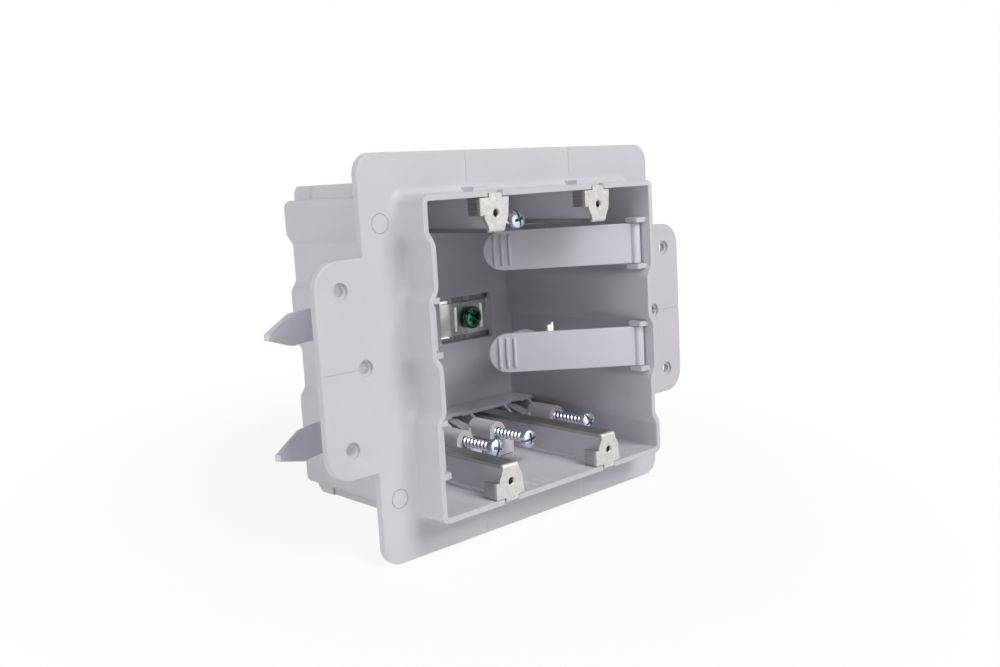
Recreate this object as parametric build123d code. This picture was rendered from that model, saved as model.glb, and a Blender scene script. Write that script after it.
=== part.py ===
"""Two-gang electrical box for foam-filled forms and stud walls.

One moulded box carries a wide sealing flange with two nail ears. Four levers
inside swing on upright pivots and push curved claws out through slots in the
side walls. Steel straps lie on moulded ribs and end in tapped device plates.
Eight screw-driven jaws hold the cables that come in through chutes at the
rear, and a plate in the rear wall carries the ground screw.

Frame: X to the right, Y from the open front to the rear, Z up. The origin is
the centre of the ear nail holes, in the plane of the flange's rear face, which
seats on the stud. Millimetres.
"""
from build123d import *
import os
from math import asin, cos, radians, sin, sqrt

# Device screw pattern and gangs
GANG_PITCH = 46.04           # between the centre lines of the two gangs
DEVICE_SPAN = 83.34          # between a device's upper and lower screws

# Box shell
SCREW_TO_WALL = 5.03         # from a device screw's axis to the inside of the box
GANG_TO_WALL = 26.28         # from a gang's centre line to the bulges of the side wall
WALL = 1.8
CORNER_R = 2.5               # outer corners of the box outline
RIM_Y = -15.1                # front edge of the collar
REAR_Y = 59.9                # outer face of the rear wall
REAR_WALL = 2.4
REAR_EDGE_R = 2.0
STEP_IN = 2.2                # how far the side walls' recesses stand in
STEP_RUN = 3.2               # height of one slanted step
STEP_R = 3.0                 # rounding of the outline at each step
STEP_UNDER_TOP = 10.35       # right wall's first step, under the upper lever's middle
STEP_OVER_LOW = 10.1         # second step, over the lower lever's middle
STEP_UNDER_LOW = 10.15       # third step, under the lower lever's middle
STEP_OVER_LEG = 0.3          # last step, over the lower strap leg's top

# Flange and ears
FLANGE_RIM = 12.7            # flange beyond the box, all round
FLANGE_THICK = 2.6
FLANGE_R = 6.0
FLANGE_EDGE_R = 0.5
COVE_R = 2.5                 # between the collar and the flange
EAR_REACH = 17.0             # ear beyond the flange
EAR_HEIGHT = 63.4
EAR_R = 8.0
NAIL_EDGE = 8.4              # outer nail holes, from the ear's tip
NAIL_PITCH = 46.0            # between the upper and lower nail holes
NAIL_MID_EDGE = 15.1         # middle nail hole, nearer the box
NAIL_R = 1.6
NAIL_SINK_R = 2.5
NAIL_SINK = 0.9
PAD_WIDTH = 5.6              # small pads on the collar, in front of the flange
PAD_PROUD = 1.4
PAD_LENGTH = 6.0

# Device straps: sheet steel, one per gang
STRAP_THICK = 1.2
STRAP_WIDTH = 6.4
LEG_IN = 5.77                # from a device screw's axis to the leg's inner face
STRAP_SLOT = 0.2             # room over and beside a leg in the rear wall
PLATE_PROUD = 0.2            # plate in front of the rim
PLATE_HALF = 5.4             # half width at the foot
PLATE_SHOULDER = 4.9         # half width where the neck's curve starts
PLATE_STRAIGHT = 5.0         # height of the straight foot
PLATE_FOOT_GAP = 0.3         # between the plate's foot and the wall
FOOT_WIDTH = 5.2             # tongue of the plate that drops into the rim notch
FOOT_DROP = 1.4
TAB_OUT = 1.0                # folded side tab, beyond the foot's half width
TAB_LENGTH = 5.6
TAB_HEIGHT = 5.2
TAPPED_R = 1.4
NOTCH_WIDTH = 6.0            # notch in the rim over each plate
NOTCH_DEPTH = 2.0

# Ribs under the straps
RIB_WIDTH = 5.4
RIB_FOOT = 7.6
RIB_FOOT_HEIGHT = 1.2
RIB_HOLLOW = 3.8             # width of the hollow behind a plate, for the device screw
RIB_HOLLOW_LENGTH = 24.0
RIB_HOLLOW_DROP = 2.2        # hollow below the screw's axis

# Levers and claws
PIVOT_IN = 2.3               # from the side wall's inner face
PIVOT_Y = -10.3
LEVER_DROP = 9.05            # right upper lever's middle under the strap's leg
LEVER_PITCH = 36.55          # between the two levers of a side
LEVER_SWING = 47.5           # degrees from flat on the wall to swung in
ARM_LENGTH = 53.5
ARM_WIDTH = 14.0
ARM_THICK = 2.0
BARREL_R = 1.75
STUB_R = 1.2
STUB_LENGTH = 1.5
PIVOT_CLEAR = 0.06           # radial running clearance
SIDE_CLEAR = 0.2             # between the lever and its lugs
LUG_THICK = 1.7
LUG_LENGTH = 6.0
LUG_REACH = 2.1              # from the pivot into the box
LUG_R = 1.0
GRIP_COUNT = 3
GRIP_PITCH = 2.65
GRIP_FIRST = 44.3            # from the pivot
GRIP_WIDTH = 1.2
GRIP_PROUD = 0.8
GRIP_SPAN = 11.0
CLAW_R = 46.0                # middle of the blade, from the pivot
CLAW_THICK = 1.9
CLAW_WIDTH = 10.0
CLAW_BEND = 30.0             # degrees of arc before the straight point
CLAW_POINT = 14.3            # length of the straight point
CLAW_TIP = 1.8               # width left at the tip
SLOT_CLEAR = 0.35
SLOT_NARROW = 1.0            # each side of the slot's deeper part, for the point

# Cable clamps
CLAMP_OFFSET = 15.25         # screw from its gang's centre line
CLAMP_IN = 3.57              # clamp screws nearer the middle than the device screws
BOSS_R = 3.8
BOSS_Y = 24.0                # front face of the bosses
TOWER_Y = 34.2               # front face of the wall behind the bosses
TOWER_WALL = 1.8
TOWER_HALF = 7.1             # half width of the clamp tower
TOWER_SIDE = 1.2
TOWER_CHEEK = 1.0            # how far over the screw axis the tower's slopes start
DECK_Y = 46.0                # front edge of the deck over the chutes
DECK_THICK = 1.4
DECK_NOTCH_R = 3.0
CHUTE_DROP = 4.5             # chute block below the box
CHUTE_HALF = 7.6
CHUTE_WAIST = 6.8            # half width in front of the rear collar
CHUTE_COLLAR_Y = 51.0
CHUTE_WALL = 1.5
CHUTE_Y = 21.4               # where the block's front slope leaves the box
CHUTE_SLOPE = 4.6            # length of that slope
CHUTE_MOUTH = 3.4            # from there to the opening in the floor
SCREW_R = 1.75
SCREW_CLEAR = 0.06
SCREW_HEAD_R = 3.3
SCREW_HEAD_THICK = 2.4
SCREW_HEAD_Y = 8.9           # under the head, backed out
SCREW_TIP_Y = 36.4
SCREW_POINT = 2.0
CROWN_SHARE = 0.4            # flat middle of a head, as a share of its radius
DOME_SHARE = (0.82, 0.28)    # a point on the head's dome: out and down
RIM_SHARE = 0.25             # straight rim, as a share of the head's thickness
DRIVE_DEPTH = 1.2
DRIVE_WIDTH = 0.9
DRIVE_SPAN = 4.4
TUNNEL_Y = 22.2              # front of the cable tunnel under a boss
TUNNEL_HALF = 5.9
TUNNEL_SIDE = 0.8
TUNNEL_ROOF = 1.0
FLAP_THICK = 0.9             # tear-out flap that closes the tunnel's front
FLAP_SLIT = 0.4              # under the flap
JAW_CLEAR = 0.3              # beside and before the jaw
JAW_GAP = 0.4                # over the jaw's plate
JAW_THICK = 1.9
JAW_REAR = 50.5
JAW_TOOTH = 0.8
JAW_TEETH = 4
JAW_PITCH = 2.2
TOOTH_SHARE = 0.8            # slope of a tooth, as a share of the pitch
WEDGE_WIDTH = 4.6
WEDGE_RISE = 0.25            # jaw travel per millimetre of screw travel
WEDGE_GAP = 0.1              # between the screw's point and the wedge

# Ground terminal
WINDOW_OFF = 2.18            # window's centre, outward of the right gang's
WINDOW_Z = -1.0
WINDOW_WIDTH = 26.6
WINDOW_HEIGHT = 17.4
WINDOW_R = 1.0
PRESS_HEIGHT = 12.6          # ground plate, seen in the window
PRESS_THICK = 1.2
PRESS_ROLL = 7.0             # length of the rolled left end
PRESS_JOGGLE = 2.6           # length of the step at the right end
PRESS_FLANGE = 4.6           # ends that lie on the rear wall
BEAD_PITCH = 13.2            # between the two pressed beads
BEAD_R = 1.2
BEAD_HEIGHT = 9.6
GROUND_OFF = 2.4             # ground screw, outward of the window's centre
GROUND_SCREW_R = 2.35
GROUND_CLEAR = 0.25          # round the screw in the plate and beside the strap
GROUND_HEAD_R = 4.4
GROUND_HEAD_THICK = 2.8
GROUND_HEAD_Y = 57.3         # under the head, backed out for the wire
GROUND_TIP_Y = 65.0
GROUND_POINT = 1.2
LINK_PAST_LEFT = 3.98        # bond link beyond the left gang's centre line
LINK_PAST_RIGHT = 20.98      # and beyond the right gang's
LINK_THICK = 1.2
LINK_R = 3.0
LINK_BOSS_R = 3.9
LINK_BOSS = 1.6
LINK_SLIT = 1.0              # slits behind the rolled end of the plate
RIVET_R = 1.6
RIVET_HEAD_R = 2.7
RIVET_HEAD = 1.0
RIVET_DEPTH = 1.5            # of the blind holes in the rear wall
RIVET_RISE = 12.4            # strap rivets over and under the window's centre
RIVET_EDGE = 3.2
RIVET_ROUND = 0.6            # edge rounding, as a share of the head's height

# Worked-out places
HALF_W = GANG_PITCH / 2 + GANG_TO_WALL
HALF_H = DEVICE_SPAN / 2 + SCREW_TO_WALL
OUT_W = HALF_W + WALL
OUT_H = HALF_H + WALL
BACK_IN = REAR_Y - REAR_WALL
FLANGE_Y = -FLANGE_THICK
EAR_TIP = OUT_W + FLANGE_RIM + EAR_REACH
PLATE_FACE = RIM_Y - PLATE_PROUD
PLATE_BACK = PLATE_FACE + STRAP_THICK
STRAP_Z = DEVICE_SPAN / 2 - LEG_IN
LEG_Z = STRAP_Z + STRAP_THICK
PIVOT_X = HALF_W - PIVOT_IN
LEVER_TOP = STRAP_Z - LEVER_DROP
LEVER_Z = {"upper": LEVER_TOP, "lower": LEVER_TOP - LEVER_PITCH}  # right-hand levers; the left are turned over
RIGHT_STEPS = (LEVER_Z["upper"] - STEP_UNDER_TOP, LEVER_Z["lower"] + STEP_OVER_LOW,
               LEVER_Z["lower"] - STEP_UNDER_LOW, STEP_OVER_LEG - STRAP_Z)
CLAMP_Z = DEVICE_SPAN / 2 - CLAMP_IN
DECK_Z = CLAMP_Z - BOSS_R
GANGS = {"left": -GANG_PITCH / 2, "right": GANG_PITCH / 2}
CLAMPS = [g + s * CLAMP_OFFSET for g in GANGS.values() for s in (-1, 1)]
SIDES = {"lower": -1, "upper": 1}
PASSAGE_HALF = TOWER_HALF - TOWER_SIDE
PASSAGE_Z = CLAMP_Z + BOSS_R
JAW_Z = PASSAGE_Z + JAW_GAP
LINK_Y = REAR_Y + STRAP_THICK
LINK_BACK = LINK_Y + LINK_THICK
LINK_LEFT = GANGS["left"] - LINK_PAST_LEFT
LINK_RIGHT = GANGS["right"] + LINK_PAST_RIGHT
WINDOW_X = GANGS["right"] + WINDOW_OFF
GROUND_X = WINDOW_X + GROUND_OFF
WINDOW_LEFT = WINDOW_X - WINDOW_WIDTH / 2
WINDOW_RIGHT = WINDOW_X + WINDOW_WIDTH / 2
PRESS_RIVETS = {"near": WINDOW_LEFT - PRESS_FLANGE / 2, "far": WINDOW_RIGHT + PRESS_FLANGE / 2}


def block(x0, x1, y0, y1, z0, z1):
    """Box between two corners, given in any order."""
    size = Box(abs(x1 - x0), abs(y1 - y0), abs(z1 - z0))
    return Pos((x0 + x1) / 2, (y0 + y1) / 2, (z0 + z1) / 2) * size


def rod(radius, x, z, y0, y1):
    """Cylinder along Y."""
    return Pos(x, (y0 + y1) / 2, z) * Rot(90, 0, 0) * Cylinder(radius, y1 - y0)


def post(radius, x, y, z0, z1):
    """Upright cylinder."""
    return Pos(x, y, (z0 + z1) / 2) * Cylinder(radius, abs(z1 - z0))


def front_slab(sketch, y0, y1):
    """Extrude a sketch drawn in X and Z, as seen from the front, along Y."""
    return extrude(Plane((0, y1, 0), x_dir=(1, 0, 0), z_dir=(0, -1, 0)) * sketch, y1 - y0)


def side_slab(points, x0, x1):
    """Extrude an outline of (y, z) points along X."""
    face = make_face(Polyline(*[(0, y, z) for y, z in points], close=True))
    return Pos(x0, 0, 0) * extrude(face, x1 - x0, dir=(1, 0, 0))


def turned_over(part):
    """The part turned half a turn about the Y axis."""
    return Rot(0, 180, 0) * part


def flipped(part, side):
    """Lower features as they are, upper ones mirrored in the centre plane."""
    return part if side < 0 else mirror(part, about=Plane.XY)


def box_outline():
    """Outer outline of the box: its side walls step in and out."""
    right = [(OUT_W, OUT_H)]
    level = OUT_W
    for height in RIGHT_STEPS:
        right.append((level, height + STEP_RUN / 2))
        level = 2 * OUT_W - STEP_IN - level
        right.append((level, height - STEP_RUN / 2))
    right.append((OUT_W, -OUT_H))
    left = [(-x, -z) for x, z in right]
    face = Sketch() + make_face(Polyline(*right, *left, close=True))
    steps = [v for v in face.vertices() if abs(v.Y) < OUT_H - 1]
    face = fillet(steps, STEP_R)
    corners = [v for v in face.vertices() if abs(v.Y) > OUT_H - 0.01]
    return fillet(corners, CORNER_R)


def shell(outline):
    """Box closed at the rear, with its flange, ears, pads and nail holes."""
    body = front_slab(outline, RIM_Y, REAR_Y)
    body = fillet(body.faces().sort_by(Axis.Y)[-1].edges(), REAR_EDGE_R)
    plate = RectangleRounded(2 * (OUT_W + FLANGE_RIM), 2 * (OUT_H + FLANGE_RIM), FLANGE_R)
    plate += RectangleRounded(2 * EAR_TIP, EAR_HEIGHT, EAR_R)
    flange = front_slab(plate, FLANGE_Y, 0)
    flange = fillet(flange.faces().sort_by(Axis.Y)[0].edges(), FLANGE_EDGE_R)
    body += flange
    corner = [e for e in body.edges() if abs(e.center().Y - FLANGE_Y) < 0.01
              and abs(e.center().X) < OUT_W + 1 and abs(e.center().Z) < OUT_H + 1]
    body = fillet(corner, COVE_R)
    for x in GANGS.values():
        for side in (-1, 1):
            body += block(x - PAD_WIDTH / 2, x + PAD_WIDTH / 2, FLANGE_Y - PAD_LENGTH, FLANGE_Y,
                          side * (OUT_H - WALL / 2), side * (OUT_H + PAD_PROUD))
    body -= front_slab(offset(outline, -WALL), RIM_Y - 1, BACK_IN)
    outer, middle = EAR_TIP - NAIL_EDGE, EAR_TIP - NAIL_MID_EDGE
    for side in (-1, 1):
        for x, z in ((outer, NAIL_PITCH / 2), (outer, -NAIL_PITCH / 2), (middle, 0)):
            body -= rod(NAIL_R, side * x, z, FLANGE_Y - 1, 1)
            body -= rod(NAIL_SINK_R, side * x, z, FLANGE_Y - 1, FLANGE_Y + NAIL_SINK)
    return body


def strap_rib(x):
    """Rib on the floor under one leg of a strap, with a wider foot and room for the device screw."""
    floor = -HALF_H - WALL / 2
    rear = BACK_IN + REAR_WALL / 2
    rib = block(x - RIB_WIDTH / 2, x + RIB_WIDTH / 2, PLATE_BACK, rear, floor, -LEG_Z)
    foot = block(x - RIB_FOOT / 2, x + RIB_FOOT / 2, PLATE_BACK, rear, floor, RIB_FOOT_HEIGHT - HALF_H)
    hollow = block(x - RIB_HOLLOW / 2, x + RIB_HOLLOW / 2, PLATE_BACK, PLATE_BACK + RIB_HOLLOW_LENGTH,
                   -DEVICE_SPAN / 2 - RIB_HOLLOW_DROP, -LEG_Z)
    return rib + foot - hollow


def clamp_tower(x):
    """Boss, front wall and side webs that carry one clamp screw and its jaw."""
    floor = -HALF_H - WALL / 2
    rear = BACK_IN + REAR_WALL / 2
    back = TOWER_Y + TOWER_WALL
    cheek = TOWER_CHEEK - CLAMP_Z
    deck = -DECK_Z - DECK_THICK / 2
    face = Polygon((x - TOWER_HALF, floor), (x + TOWER_HALF, floor), (x + TOWER_HALF, -PASSAGE_Z),
                   (x + BOSS_R, cheek), (x - BOSS_R, cheek), (x - TOWER_HALF, -PASSAGE_Z), align=None)
    tower = front_slab(face, TOWER_Y, back) + rod(BOSS_R, x, -CLAMP_Z, BOSS_Y, back)
    web = [(TOWER_Y, floor), (TOWER_Y, -PASSAGE_Z), (back, -PASSAGE_Z), (DECK_Y, deck),
           (rear, deck), (rear, floor)]
    for inner in (x - TOWER_HALF, x + PASSAGE_HALF):
        tower += side_slab(web, inner, inner + TOWER_SIDE)
    return tower


def cable_tunnel(x):
    """Tunnel in front of the tower's foot, where the cable comes up into the box."""
    return block(x - TUNNEL_HALF, x + TUNNEL_HALF, TUNNEL_Y, TOWER_Y + TOWER_WALL / 2,
                 -HALF_H - WALL / 2, TUNNEL_ROOF - PASSAGE_Z)


def chute_block(x):
    """Outside block of one cable chute, with a collar at its rear end."""
    top = -OUT_H + WALL / 2
    low = -OUT_H - CHUTE_DROP
    rear = REAR_Y - REAR_EDGE_R
    waist = [(CHUTE_Y, -OUT_H), (CHUTE_Y + CHUTE_SLOPE, low), (rear, low), (rear, top), (CHUTE_Y, top)]
    collar = [(CHUTE_COLLAR_Y, top), (CHUTE_COLLAR_Y, low), (rear, low),
              (REAR_Y, low + REAR_EDGE_R), (REAR_Y, top), (rear, top + REAR_EDGE_R),
              (CHUTE_COLLAR_Y, top + WALL / 4)]
    part = side_slab(waist, x - CHUTE_WAIST, x + CHUTE_WAIST)
    return part + side_slab(collar, x - CHUTE_HALF, x + CHUTE_HALF)


def chute_passage(x):
    """Way of one cable: in at the rear, up the ramp and under the boss to the flap."""
    low = -OUT_H - CHUTE_DROP + CHUTE_WALL
    mouth = CHUTE_Y + CHUTE_MOUTH
    room = TOWER_Y + TOWER_WALL
    flap = TUNNEL_Y + FLAP_THICK
    inner = TUNNEL_HALF - TUNNEL_SIDE
    ramp = [(flap, -PASSAGE_Z), (flap, -HALF_H), (mouth, -HALF_H), (mouth + CHUTE_SLOPE, low),
            (room, low), (room, -PASSAGE_Z)]
    way = side_slab(ramp, x - inner, x + inner)
    way += block(x - PASSAGE_HALF, x + PASSAGE_HALF, room, REAR_Y + 1, low, -PASSAGE_Z)
    return way + block(x - inner, x + inner, TUNNEL_Y - 1, flap, -HALF_H, FLAP_SLIT - HALF_H)


def lever_slot(z):
    """Opening in the right wall that one claw swings through."""
    inside = HALF_W - PIVOT_X
    near = CLAW_R - CLAW_THICK / 2 - SLOT_CLEAR
    far = CLAW_R + CLAW_THICK / 2 + SLOT_CLEAR
    reach = sqrt((CLAW_R + CLAW_THICK / 2) ** 2 + CLAW_POINT ** 2) + SLOT_CLEAR
    front = PIVOT_Y + sqrt(near ** 2 - (inside + WALL) ** 2)
    mouth = CLAW_WIDTH / 2 + SLOT_CLEAR
    narrow = CLAW_WIDTH / 2 - SLOT_NARROW
    x0, x1 = HALF_W - 1, OUT_W + 1
    slot = block(x0, x1, front, PIVOT_Y + sqrt(far ** 2 - inside ** 2), z - mouth, z + mouth)
    return slot + block(x0, x1, front, PIVOT_Y + sqrt(reach ** 2 - inside ** 2), z - narrow, z + narrow)


def pivot_lugs(z):
    """Two lugs on the right wall that hold one lever's stubs."""
    near = ARM_WIDTH / 2 + SIDE_CLEAR
    inner, outer = PIVOT_X - LUG_REACH, HALF_W + WALL / 2
    shape = Pos((inner + outer) / 2, PIVOT_Y) * RectangleRounded(outer - inner, LUG_LENGTH, LUG_R)
    lug = extrude(shape, LUG_THICK)
    return [Pos(0, 0, z + near) * lug, Pos(0, 0, z - near - LUG_THICK) * lug]


def pivot_bore(z):
    """Bore through both lugs of one lever."""
    reach = ARM_WIDTH / 2 + SIDE_CLEAR + LUG_THICK + SIDE_CLEAR
    return post(STUB_R + PIVOT_CLEAR, PIVOT_X, PIVOT_Y, z - reach, z + reach)


def rivet_places():
    """Centres of the rivets on the rear, by name."""
    places = {}
    for gang, x in GANGS.items():
        for level, side in SIDES.items():
            places[f"link_rivet_{gang}_{level}"] = (x, WINDOW_Z + side * RIVET_RISE)
    for end, x in PRESS_RIVETS.items():
        places[f"plate_rivet_{end}"] = (x, WINDOW_Z)
    return places


def box_body():
    """The whole moulding."""
    outline = box_outline()
    body = shell(outline)
    solid = front_slab(outline, RIM_Y, REAR_Y)
    deck = block(-OUT_W, OUT_W, DECK_Y, BACK_IN + REAR_WALL / 2, -DECK_Z - DECK_THICK, -DECK_Z)
    for x in CLAMPS:
        deck -= post(DECK_NOTCH_R, x, DECK_Y - 1, -DECK_Z - DECK_THICK - 1, 1 - DECK_Z)
    middle = block(-PASSAGE_HALF, PASSAGE_HALF, TOWER_Y, TOWER_Y + TOWER_WALL, -OUT_H + WALL / 2, -PASSAGE_Z)
    add = []
    cut = []
    for side in SIDES.values():
        add += [flipped(deck, side) & solid, flipped(middle, side)]
        for x in GANGS.values():
            add.append(flipped(strap_rib(x), side))
            half = STRAP_WIDTH / 2 + STRAP_SLOT
            slot = block(x - half, x + half, PLATE_BACK, REAR_Y + 1, -LEG_Z, STRAP_SLOT - STRAP_Z)
            notch = block(x - NOTCH_WIDTH / 2, x + NOTCH_WIDTH / 2, RIM_Y - 1, RIM_Y + NOTCH_DEPTH,
                          1 - HALF_H, -OUT_H - 1)
            cut += [flipped(slot, side), flipped(notch, side)]
        for x in CLAMPS:
            add += [flipped(chute_block(x), side), flipped(clamp_tower(x) + cable_tunnel(x), side)]
            bore = rod(SCREW_R + SCREW_CLEAR, x, -CLAMP_Z, BOSS_Y - 1, DECK_Y)
            cut += [flipped(chute_passage(x), side), flipped(bore, side)]
    for z in LEVER_Z.values():
        for lug in pivot_lugs(z):
            add += [lug, turned_over(lug)]
        for space in (pivot_bore(z), lever_slot(z)):
            cut += [space, turned_over(space)]
    window = Pos(WINDOW_X, WINDOW_Z) * RectangleRounded(WINDOW_WIDTH, WINDOW_HEIGHT, WINDOW_R)
    cut.append(front_slab(window, BACK_IN - 1, REAR_Y + 1))
    for x, z in rivet_places().values():
        cut.append(rod(RIVET_R, x, z, REAR_Y - RIVET_DEPTH, REAR_Y + 1))
    for part in add:
        body += part
    for part in cut:
        body -= part
    return body


def plate_outline():
    """Lower device plate, seen from the front, about its gang's centre line."""
    foot = PLATE_FOOT_GAP - HALF_H
    neck = STRAP_WIDTH / 2
    shoulder = foot + PLATE_STRAIGHT
    middle = (shoulder - STRAP_Z) / 2
    waist = (neck + PLATE_SHOULDER) / 2 - 0.2
    tab = PLATE_HALF + TAB_OUT
    right = Spline((PLATE_SHOULDER, shoulder), (waist, middle), (neck, -STRAP_Z),
                   tangents=((0, 1), (0, 1)))
    left = Spline((-neck, -STRAP_Z), (-waist, middle), (-PLATE_SHOULDER, shoulder),
                  tangents=((0, -1), (0, -1)))
    base = Polyline((-PLATE_SHOULDER, shoulder), (-tab, shoulder), (-tab, foot), (-FOOT_WIDTH / 2, foot),
                    (-FOOT_WIDTH / 2, foot - FOOT_DROP), (FOOT_WIDTH / 2, foot - FOOT_DROP),
                    (FOOT_WIDTH / 2, foot), (PLATE_HALF, foot), (PLATE_SHOULDER, shoulder))
    return make_face(Curve() + [right, Line((neck, -STRAP_Z), (-neck, -STRAP_Z)), left, base])


def device_strap(x):
    """One folded strap: two tapped plates, two legs and the run behind the box."""
    plate = Pos(x, 0, 0) * front_slab(plate_outline(), PLATE_FACE, PLATE_BACK)
    plate -= rod(TAPPED_R, x, -DEVICE_SPAN / 2, PLATE_FACE - 1, PLATE_BACK + 1)
    edge = x - PLATE_HALF - TAB_OUT
    foot = PLATE_FOOT_GAP - HALF_H
    tab = block(edge, edge + STRAP_THICK, PLATE_FACE, PLATE_FACE + TAB_LENGTH, foot, foot + TAB_HEIGHT)
    neck = STRAP_WIDTH / 2
    leg = block(x - neck, x + neck, PLATE_FACE, LINK_Y, -LEG_Z, -STRAP_Z)
    half = plate + tab + leg
    bend = [e for e in half.edges().filter_by(Axis.X)
            if abs(e.center().Z + STRAP_Z) < 0.01 and abs(e.center().Y - PLATE_FACE) < 0.01]
    half = fillet(bend, STRAP_THICK)
    run = block(x - neck, x + neck, REAR_Y, LINK_Y, -LEG_Z, LEG_Z)
    strap = half + mirror(half, about=Plane.XY) + run
    strap -= rod(GROUND_SCREW_R + GROUND_CLEAR, GROUND_X, WINDOW_Z, REAR_Y - 1, LINK_Y + 1)
    for side in SIDES.values():
        strap -= rod(RIVET_R, x, WINDOW_Z + side * RIVET_RISE, REAR_Y - 1, LINK_Y + 1)
    return strap


def claw():
    """Blade on an arc about the pivot, with a straight tapered point."""
    root = asin(ARM_THICK / 4 / CLAW_R)
    bend = radians(CLAW_BEND)
    inner, outer = CLAW_R - CLAW_THICK / 2, CLAW_R + CLAW_THICK / 2

    def on_arc(radius, angle):
        return (radius * sin(angle), radius * cos(angle))

    def ahead(point):
        return (point[0] + CLAW_POINT * cos(bend), point[1] - CLAW_POINT * sin(bend))

    in_end, out_end = on_arc(inner, bend), on_arc(outer, bend)
    half_way = (root + bend) / 2
    outline = Curve() + [
        ThreePointArc(on_arc(inner, root), on_arc(inner, half_way), in_end),
        Polyline(in_end, ahead(in_end), ahead(out_end), out_end),
        ThreePointArc(out_end, on_arc(outer, half_way), on_arc(outer, root)),
        Line(on_arc(outer, root), on_arc(inner, root))]
    half = CLAW_WIDTH / 2
    blade = extrude(make_face(outline), half, both=True)
    start = on_arc(CLAW_R, bend)
    along = Plane(origin=(*start, 0), x_dir=(cos(bend), -sin(bend), 0), z_dir=(sin(bend), cos(bend), 0))
    end = CLAW_POINT + 1
    for side in (-1, 1):
        corner = Polygon((0, side * half), (end, side * CLAW_TIP / 2), (end, side * (half + 1)),
                         (0, side * (half + 1)), align=None)
        blade -= extrude(along * corner, CLAW_THICK, both=True)
    return blade


def lever():
    """One lever about its pivot: arm along +Y, claw towards +X, flat on the wall."""
    half = ARM_WIDTH / 2
    round_y = ARM_LENGTH - half
    arm = block(-ARM_THICK / 2, ARM_THICK / 2, 0, round_y, -half, half)
    arm += Pos(0, round_y, 0) * Rot(0, 90, 0) * Cylinder(half, ARM_THICK)
    arm += post(BARREL_R, 0, 0, -half, half)
    arm += post(STUB_R, 0, 0, -half - STUB_LENGTH, half + STUB_LENGTH)
    for k in range(GRIP_COUNT):
        y = GRIP_FIRST + k * GRIP_PITCH
        arm += block(-ARM_THICK / 2 - GRIP_PROUD, 0, y - GRIP_WIDTH / 2, y + GRIP_WIDTH / 2,
                     -GRIP_SPAN / 2, GRIP_SPAN / 2)
    return arm + claw()


def pan_screw(x, z, radius, head_r, head_thick, head_y, tip_y, point):
    """Domed screw along Y with a cross drive, its head to the front."""
    face = head_y - head_thick
    crown, rim = head_r * CROWN_SHARE, head_y - head_thick * RIM_SHARE
    dome = (head_r * DOME_SHARE[0], face + head_thick * DOME_SHARE[1])
    profile = make_face(Curve() + [
        Line((0, face), (crown, face)),
        ThreePointArc((crown, face), dome, (head_r, rim)),
        Polyline((head_r, rim), (head_r, head_y), (radius, head_y), (radius, tip_y - point),
                 (radius / 2, tip_y), (0, tip_y), (0, face))])
    screw = Pos(x, 0, z) * revolve(profile, Axis.Y)
    span, half, deep = DRIVE_SPAN / 2, DRIVE_WIDTH / 2, face + DRIVE_DEPTH
    screw -= block(x - span, x + span, face - 1, deep, z - half, z + half)
    return screw - block(x - half, x + half, face - 1, deep, z - span, z + span)


def clamp_screw(x):
    """Lower clamp screw, backed out."""
    return pan_screw(x, -CLAMP_Z, SCREW_R, SCREW_HEAD_R, SCREW_HEAD_THICK, SCREW_HEAD_Y,
                     SCREW_TIP_Y, SCREW_POINT)


def clamp_jaw(x):
    """Lower jaw: toothed plate with a wedge that the screw's point drives down."""
    half = PASSAGE_HALF - JAW_CLEAR
    under = -JAW_Z - JAW_THICK
    front = TOWER_Y + TOWER_WALL + JAW_CLEAR
    start = SCREW_TIP_Y + WEDGE_GAP
    low = -CLAMP_Z - SCREW_R - WEDGE_GAP
    jaw = block(x - half, x + half, front, JAW_REAR, under, -JAW_Z)
    wedge = [(start, -JAW_Z - JAW_THICK / 2), (start, low), (JAW_REAR, low + (JAW_REAR - start) * WEDGE_RISE),
             (JAW_REAR, -JAW_Z - JAW_THICK / 2)]
    jaw += side_slab(wedge, x - WEDGE_WIDTH / 2, x + WEDGE_WIDTH / 2)
    for k in range(JAW_TEETH):
        y = JAW_REAR - k * JAW_PITCH
        root = under + JAW_TOOTH / 2
        tooth = [(y, root), (y, under - JAW_TOOTH), (y - JAW_PITCH * TOOTH_SHARE, root)]
        jaw += side_slab(tooth, x - half, x + half)
    return jaw


def ground_plate():
    """Pressed plate seen in the window, its rolled and stepped ends behind the rear wall."""
    field = REAR_Y - PRESS_THICK / 2
    ends = REAR_Y + PRESS_THICK / 2
    left, right = WINDOW_LEFT + PRESS_THICK / 4, WINDOW_RIGHT - PRESS_THICK / 4
    path = Curve() + [
        Line((left - PRESS_FLANGE, ends), (left, ends)),
        Spline((left, ends), (left + PRESS_ROLL, field), tangents=((1, 0), (1, 0))),
        Line((left + PRESS_ROLL, field), (right - PRESS_JOGGLE, field)),
        Spline((right - PRESS_JOGGLE, field), (right, ends), tangents=((1, 0), (1, 0))),
        Line((right, ends), (right + PRESS_FLANGE, ends))]
    plate = extrude(trace(path, PRESS_THICK), PRESS_HEIGHT / 2, both=True)
    half = BEAD_HEIGHT / 2
    front = block(left, right, BACK_IN - 1, REAR_Y, -half, half)
    for side in (-1, 1):
        x = GROUND_X + side * BEAD_PITCH / 2
        plate += post(BEAD_R, x, field, -half, half) & front
        plate -= post(BEAD_R / 2, x, REAR_Y, -half, half) & front
    plate = Pos(0, 0, WINDOW_Z) * plate
    plate -= rod(GROUND_SCREW_R + GROUND_CLEAR, GROUND_X, WINDOW_Z, BACK_IN, LINK_Y)
    for x in PRESS_RIVETS.values():
        plate -= rod(RIVET_R, x, WINDOW_Z, REAR_Y - 1, LINK_Y + 1)
    return plate


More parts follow.
